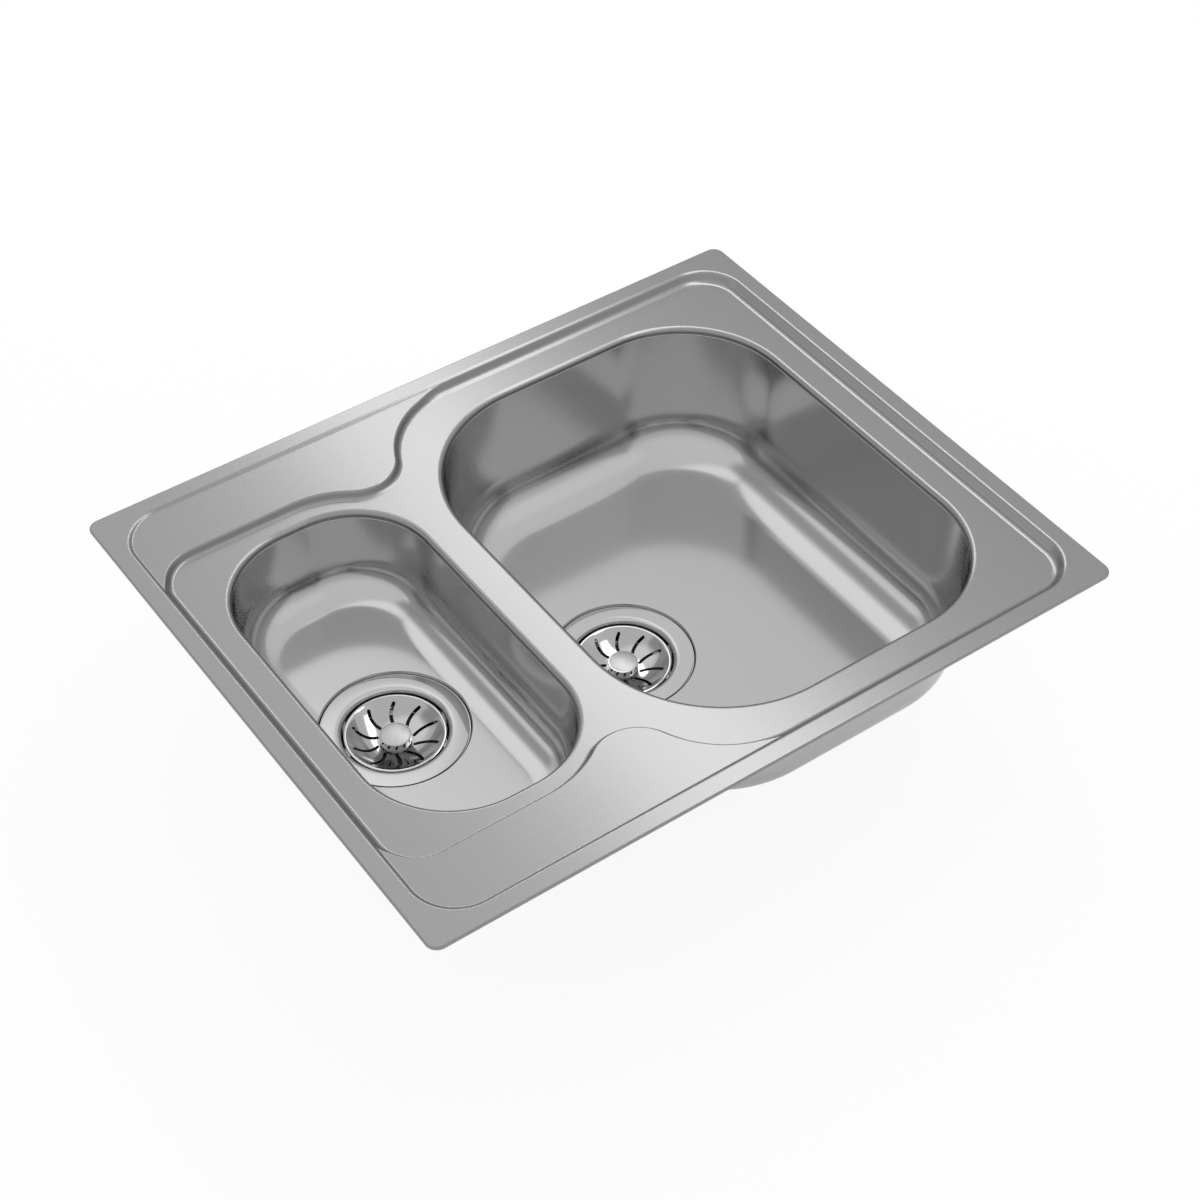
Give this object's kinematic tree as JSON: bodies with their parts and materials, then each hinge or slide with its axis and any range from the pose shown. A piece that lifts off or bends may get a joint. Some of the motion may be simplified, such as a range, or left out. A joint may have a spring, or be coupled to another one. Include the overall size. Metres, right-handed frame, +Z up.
{
  "type": "inset kitchen sink",
  "caption": "Rectangular pressed steel inset sink with a main bowl, a half bowl, basket strainer wastes and swing-out worktop clips.",
  "frame": {"origin": "centre of the rim's outline, on the plane of the worktop that the rim rests on", "axes": "+X along the sink towards the main bowl, +Y to the rear, +Z up"},
  "size_m": [0.615, 0.5, 0.2053],
  "materials": {
    "satin_steel": "satin",
    "bowl_steel": "satin",
    "flange_steel": "fine satin",
    "basket_steel": "polished",
    "knob_chrome": "polished",
    "knob_matt": "matt",
    "zinc_steel": "zinc plated",
    "screw_steel": "bright",
    "stem_plastic": "matt",
    "waste_plastic": "moulded",
    "seal_rubber": "matt",
    "seal_foam": "closed-cell foam",
    "pad_rubber": "bitumen pad"
  },
  "bodies": {
    "sink": {"sink_deck": "satin_steel", "main_bowl": "bowl_steel", "half_bowl": "bowl_steel", "rim_seal": "seal_foam", "main_sound_pad": "pad_rubber", "half_sound_pads": "pad_rubber", "clip_brackets": "zinc_steel", "clip_screws": "zinc_steel", "main_flange": "flange_steel", "main_flange_gasket": "seal_rubber", "main_under_gasket": "seal_rubber", "main_waste_body": "waste_plastic", "main_centre_screw": "screw_steel", "half_flange": "flange_steel", "half_flange_gasket": "seal_rubber", "half_under_gasket": "seal_rubber", "half_waste_body": "waste_plastic", "half_centre_screw": "screw_steel"},
    "main_basket": {"main_basket": "basket_steel", "main_basket_stem": "stem_plastic", "main_stopper": "seal_rubber", "main_knob": "knob_chrome", "main_knob_cap": "knob_matt"},
    "half_basket": {"half_basket": "basket_steel", "half_basket_stem": "stem_plastic", "half_stopper": "seal_rubber", "half_knob": "knob_chrome", "half_knob_cap": "knob_matt"},
    "claw_right_front": {"claw_right_front": "zinc_steel"},
    "claw_right_rear": {"claw_right_rear": "zinc_steel"},
    "claw_rear_right": {"claw_rear_right": "zinc_steel"},
    "claw_rear_left": {"claw_rear_left": "zinc_steel"},
    "claw_left_rear": {"claw_left_rear": "zinc_steel"},
    "claw_left_front": {"claw_left_front": "zinc_steel"},
    "claw_front_left": {"claw_front_left": "zinc_steel"},
    "claw_front_right": {"claw_front_right": "zinc_steel"}
  },
  "joints": [
    {"name": "main_basket_lift", "type": "slide", "parent": "sink", "child": "main_basket", "axis": [0, 0, 1], "range_m": [0, 0.2]},
    {"name": "half_basket_lift", "type": "slide", "parent": "sink", "child": "half_basket", "axis": [0, 0, 1], "range_m": [0, 0.15]},
    {"name": "claw_right_front_swing", "type": "hinge", "parent": "sink", "child": "claw_right_front", "pos_m": [0.27305, -0.096, -0.037], "axis": [0, 0, -1], "range_deg": [0, 90]},
    {"name": "claw_right_rear_swing", "type": "hinge", "parent": "sink", "child": "claw_right_rear", "pos_m": [0.27305, 0.096, -0.037], "axis": [0, 0, -1], "range_deg": [0, 90]},
    {"name": "claw_rear_right_swing", "type": "hinge", "parent": "sink", "child": "claw_rear_right", "pos_m": [0.1013, 0.21555, -0.037], "axis": [0, 0, -1], "range_deg": [0, 90]},
    {"name": "claw_rear_left_swing", "type": "hinge", "parent": "sink", "child": "claw_rear_left", "pos_m": [-0.1804, 0.21555, -0.037], "axis": [0, 0, -1], "range_deg": [0, 90]},
    {"name": "claw_left_rear_swing", "type": "hinge", "parent": "sink", "child": "claw_left_rear", "pos_m": [-0.27305, 0.096, -0.037], "axis": [0, 0, -1], "range_deg": [0, 90]},
    {"name": "claw_left_front_swing", "type": "hinge", "parent": "sink", "child": "claw_left_front", "pos_m": [-0.27305, -0.096, -0.037], "axis": [0, 0, -1], "range_deg": [0, 90]},
    {"name": "claw_front_left_swing", "type": "hinge", "parent": "sink", "child": "claw_front_left", "pos_m": [-0.1804, -0.21555, -0.037], "axis": [0, 0, -1], "range_deg": [0, 90]},
    {"name": "claw_front_right_swing", "type": "hinge", "parent": "sink", "child": "claw_front_right", "pos_m": [0.1013, -0.21555, -0.037], "axis": [0, 0, -1], "range_deg": [0, 90]}
  ]
}
